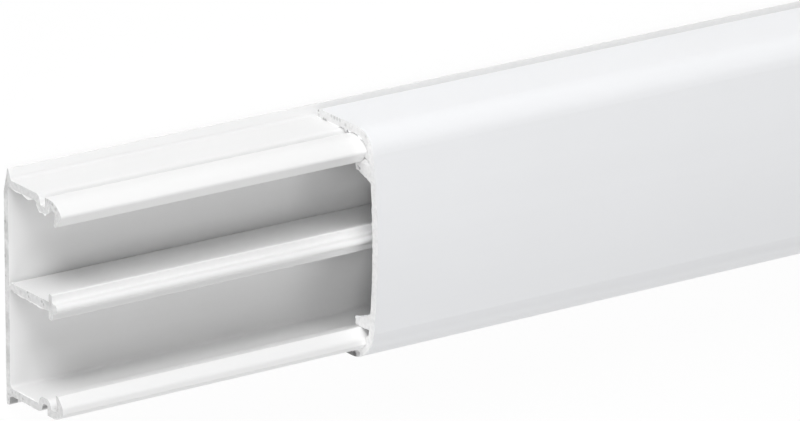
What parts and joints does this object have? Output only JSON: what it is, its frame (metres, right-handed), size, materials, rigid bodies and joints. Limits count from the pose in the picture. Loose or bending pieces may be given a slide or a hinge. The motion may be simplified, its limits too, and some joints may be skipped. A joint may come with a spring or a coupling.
{
  "type": "cord cover raceway",
  "caption": "Straight two-compartment cable trunking: a shallow divided channel with hooked walls and a bowed press-on cover, cut back at one end.",
  "frame": {"origin": "on the flat back face of the channel, at mid length and mid height", "axes": "+X runs along the stick, with the cover cut back at the -X end; +Y is the upper side when the raceway is fixed along a wall; +Z is the depth, out from the wall towards the cover's front"},
  "size_m": [0.4, 0.0404, 0.0204],
  "materials": {
    "channel_plastic": "satin white rigid PVC, extruded",
    "cover_plastic": "satin white rigid PVC, extruded"
  },
  "bodies": {
    "root": {"base_channel": "channel_plastic", "snap_cover": "cover_plastic"}
  },
  "joints": []
}
